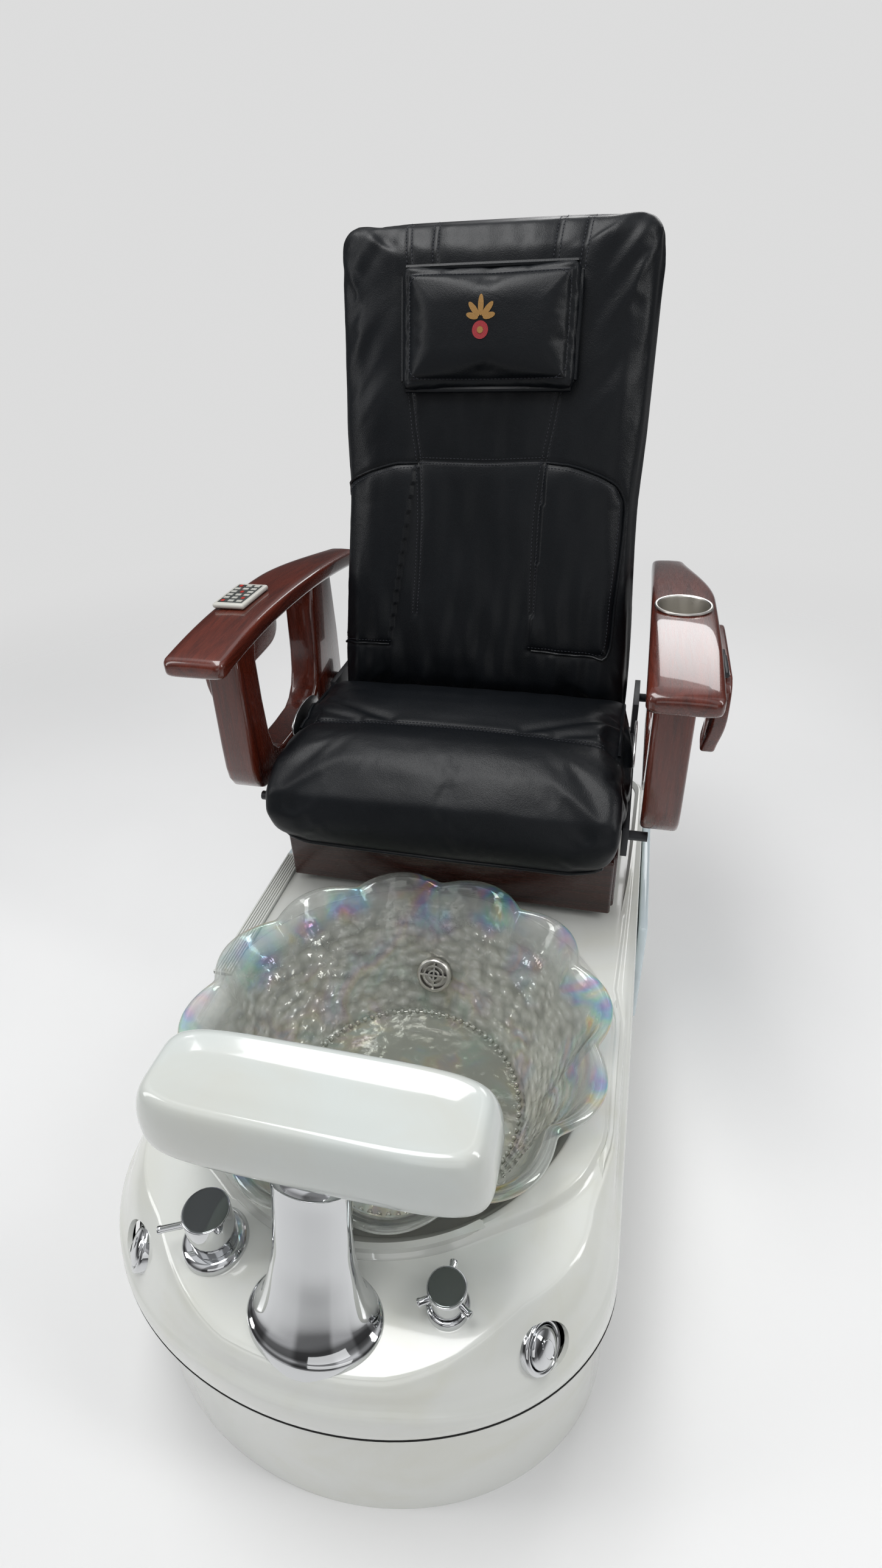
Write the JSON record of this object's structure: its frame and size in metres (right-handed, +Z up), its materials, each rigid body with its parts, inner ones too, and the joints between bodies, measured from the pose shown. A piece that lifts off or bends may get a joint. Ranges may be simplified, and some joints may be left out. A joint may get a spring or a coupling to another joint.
{
  "type": "pedicure spa chair",
  "caption": "Massage chair that slides and reclines on a moulded foot-spa base with a scalloped glass bowl, a footrest on a horn, taps, tipping armrests and folding side trays.",
  "frame": {"origin": "on the floor under the middle of the overall bounding box", "axes": "+Z up, -Y towards the basin and footrest at the front, +X to the right as the chair is faced from the front"},
  "size_m": [0.848, 1.4, 1.3817],
  "materials": {
    "gelcoat": "pearl white gloss gelcoat",
    "glass": "clear thick glass with a faint iridescent tint",
    "chrome": "polished",
    "steel": "black powder coat",
    "zinc": "plain",
    "brass": "cast",
    "leather": "black, soft sheen",
    "mahogany": "dark red mahogany under gloss lacquer",
    "ply": "bare plywood",
    "black_plastic": "moulded",
    "grey_plastic": "moulded",
    "hose": "smooth"
  },
  "bodies": {
    "base": {"base_skirt": "gelcoat", "tub_deck": "gelcoat", "glass_bowl": "glass", "drain_tailpiece": "chrome", "jet_cover": "grey_plastic", "jet_motor": "black_plastic", "pedestal_horn": "chrome", "mixer_ring": "chrome", "mixer_valve": "brass", "diverter_ring": "chrome", "diverter_valve": "brass", "button_bezel_left": "chrome", "button_bezel_right": "chrome", "vent_grille": "gelcoat", "side_cover_left": "gelcoat", "side_cover_right": "gelcoat", "service_panel": "gelcoat", "base_frame": "steel", "control_box": "grey_plastic", "drain_hose": "hose", "hot_hose": "hose", "cold_hose": "hose", "slide_rail_left": "zinc", "slide_rail_right": "zinc", "seat_motor": "black_plastic"},
    "stopper": {"drain_stopper": "chrome"},
    "impeller": {"jet_impeller": "black_plastic"},
    "footrest": {"footrest_post": "zinc", "footrest_pad": "gelcoat"},
    "mixer_cap": {"mixer_cap": "chrome"},
    "mixer_lever": {"mixer_lever": "chrome"},
    "diverter_knob": {"diverter_knob": "chrome"},
    "air_button_left": {"air_button_left": "chrome"},
    "air_button_right": {"air_button_right": "chrome"},
    "seat": {"seat_frame": "steel", "seat_pan": "ply", "seat_cushion": "leather", "seat_apron": "mahogany", "seat_side_left": "mahogany", "seat_side_right": "mahogany", "recline_shaft": "zinc", "seat_motor_rod": "zinc"},
    "recline_motor": {"recline_motor": "black_plastic"},
    "recline_rod": {"recline_rod": "zinc"},
    "backrest": {"back_frame": "steel", "back_shell": "black_plastic", "back_cushion": "leather", "head_pillow": "leather"},
    "lead_screw": {"lead_screw": "zinc"},
    "massage_carriage": {"massage_carriage": "black_plastic"},
    "kneader": {"kneader": "zinc"},
    "armrest_left": {"armrest_left": "mahogany", "tray_hinge_left": "steel", "remote_keypad": "grey_plastic"},
    "armrest_right": {"armrest_right": "mahogany", "tray_hinge_right": "steel"},
    "cup": {"cup_insert": "zinc"},
    "tray_left": {"tray_left": "mahogany"},
    "tray_right": {"tray_right": "mahogany"}
  },
  "joints": [
    {"name": "seat_slide", "type": "slide", "parent": "base", "child": "seat", "axis": [0, 1, 0], "range_m": [0, 0.12]},
    {"name": "backrest_recline", "type": "hinge", "parent": "seat", "child": "backrest", "pos_m": [0, 0.37, 0.56], "axis": [-1, 0, 0], "range_deg": [0, 40]},
    {"name": "recline_motor_swing", "type": "hinge", "parent": "seat", "child": "recline_motor", "pos_m": [0, 0.46, 0.45], "axis": [-1, 0, 0], "range_deg": [0, 28.6]},
    {"name": "recline_rod_slide", "type": "slide", "parent": "recline_motor", "child": "recline_rod", "axis": [0, 0.0354, 0.9994], "range_m": [-0.081, 0]},
    {"name": "massage_travel", "type": "slide", "parent": "backrest", "child": "massage_carriage", "axis": [0, 0.2385, 0.9711], "range_m": [0, 0.34]},
    {"name": "massage_screw_turn", "type": "hinge", "parent": "backrest", "child": "lead_screw", "pos_m": [0, 0.59803, 1.01885], "axis": [0, 0.2385, 0.9711], "range_deg": [0, 6130]},
    {"name": "kneader_spin", "type": "hinge", "parent": "massage_carriage", "child": "kneader", "pos_m": [0, 0.50893, 0.86569], "axis": [1, 0, 0], "continuous": true},
    {"name": "armrest_left_lift", "type": "hinge", "parent": "seat", "child": "armrest_left", "pos_m": [-0.3155, 0.425, 0.605], "axis": [-1, 0, 0], "range_deg": [0, 75]},
    {"name": "tray_left_fold", "type": "hinge", "parent": "armrest_left", "child": "tray_left", "pos_m": [-0.413, 0.19, 0.806], "axis": [0, 1, 0], "range_deg": [0, 90]},
    {"name": "air_button_left_press", "type": "slide", "parent": "base", "child": "air_button_left", "axis": [0.799, 0.3495, -0.4894], "range_m": [0, 0.003], "stiffness_N_per_m": 800},
    {"name": "armrest_right_lift", "type": "hinge", "parent": "seat", "child": "armrest_right", "pos_m": [0.3155, 0.425, 0.605], "axis": [-1, 0, 0], "range_deg": [0, 75]},
    {"name": "tray_right_fold", "type": "hinge", "parent": "armrest_right", "child": "tray_right", "pos_m": [0.413, 0.19, 0.806], "axis": [0, -1, 0], "range_deg": [0, 90]},
    {"name": "air_button_right_press", "type": "slide", "parent": "base", "child": "air_button_right", "axis": [-0.799, 0.3495, -0.4894], "range_m": [0, 0.003], "stiffness_N_per_m": 800},
    {"name": "cup_lift", "type": "slide", "parent": "armrest_right", "child": "cup", "axis": [0, 0, 1], "range_m": [0, 0.06]},
    {"name": "footrest_height", "type": "slide", "parent": "base", "child": "footrest", "axis": [0, 0.2645, 0.9644], "range_m": [0, 0.05]},
    {"name": "mixer_warmth_turn", "type": "hinge", "parent": "base", "child": "mixer_cap", "pos_m": [-0.146, -0.573, 0.37], "axis": [0, 0, 1], "range_deg": [-50, 50]},
    {"name": "mixer_flow_lift", "type": "hinge", "parent": "mixer_cap", "child": "mixer_lever", "pos_m": [-0.1605, -0.57976, 0.38], "axis": [-0.4226, 0.9063, 0], "range_deg": [0, 22]},
    {"name": "diverter_turn", "type": "hinge", "parent": "base", "child": "diverter_knob", "pos_m": [0.146, -0.582, 0.36], "axis": [0, 0, 1], "range_deg": [-90, 90]},
    {"name": "drain_stopper_lift", "type": "slide", "parent": "base", "child": "stopper", "axis": [0, 0, 1], "range_m": [0, 0.01]},
    {"name": "jet_impeller_spin", "type": "hinge", "parent": "base", "child": "impeller", "pos_m": [0, -0.05387, 0.285], "axis": [0, -0.8942, 0.4478], "continuous": true}
  ],
  "couplings": [
    {"joint": "recline_motor_swing", "follows": "backrest_recline", "ratio": 0.70913},
    {"joint": "recline_rod_slide", "follows": "backrest_recline", "m_per_rad": -0.11536},
    {"joint": "massage_screw_turn", "follows": "massage_travel", "rad_per_m": 314.16}
  ]
}
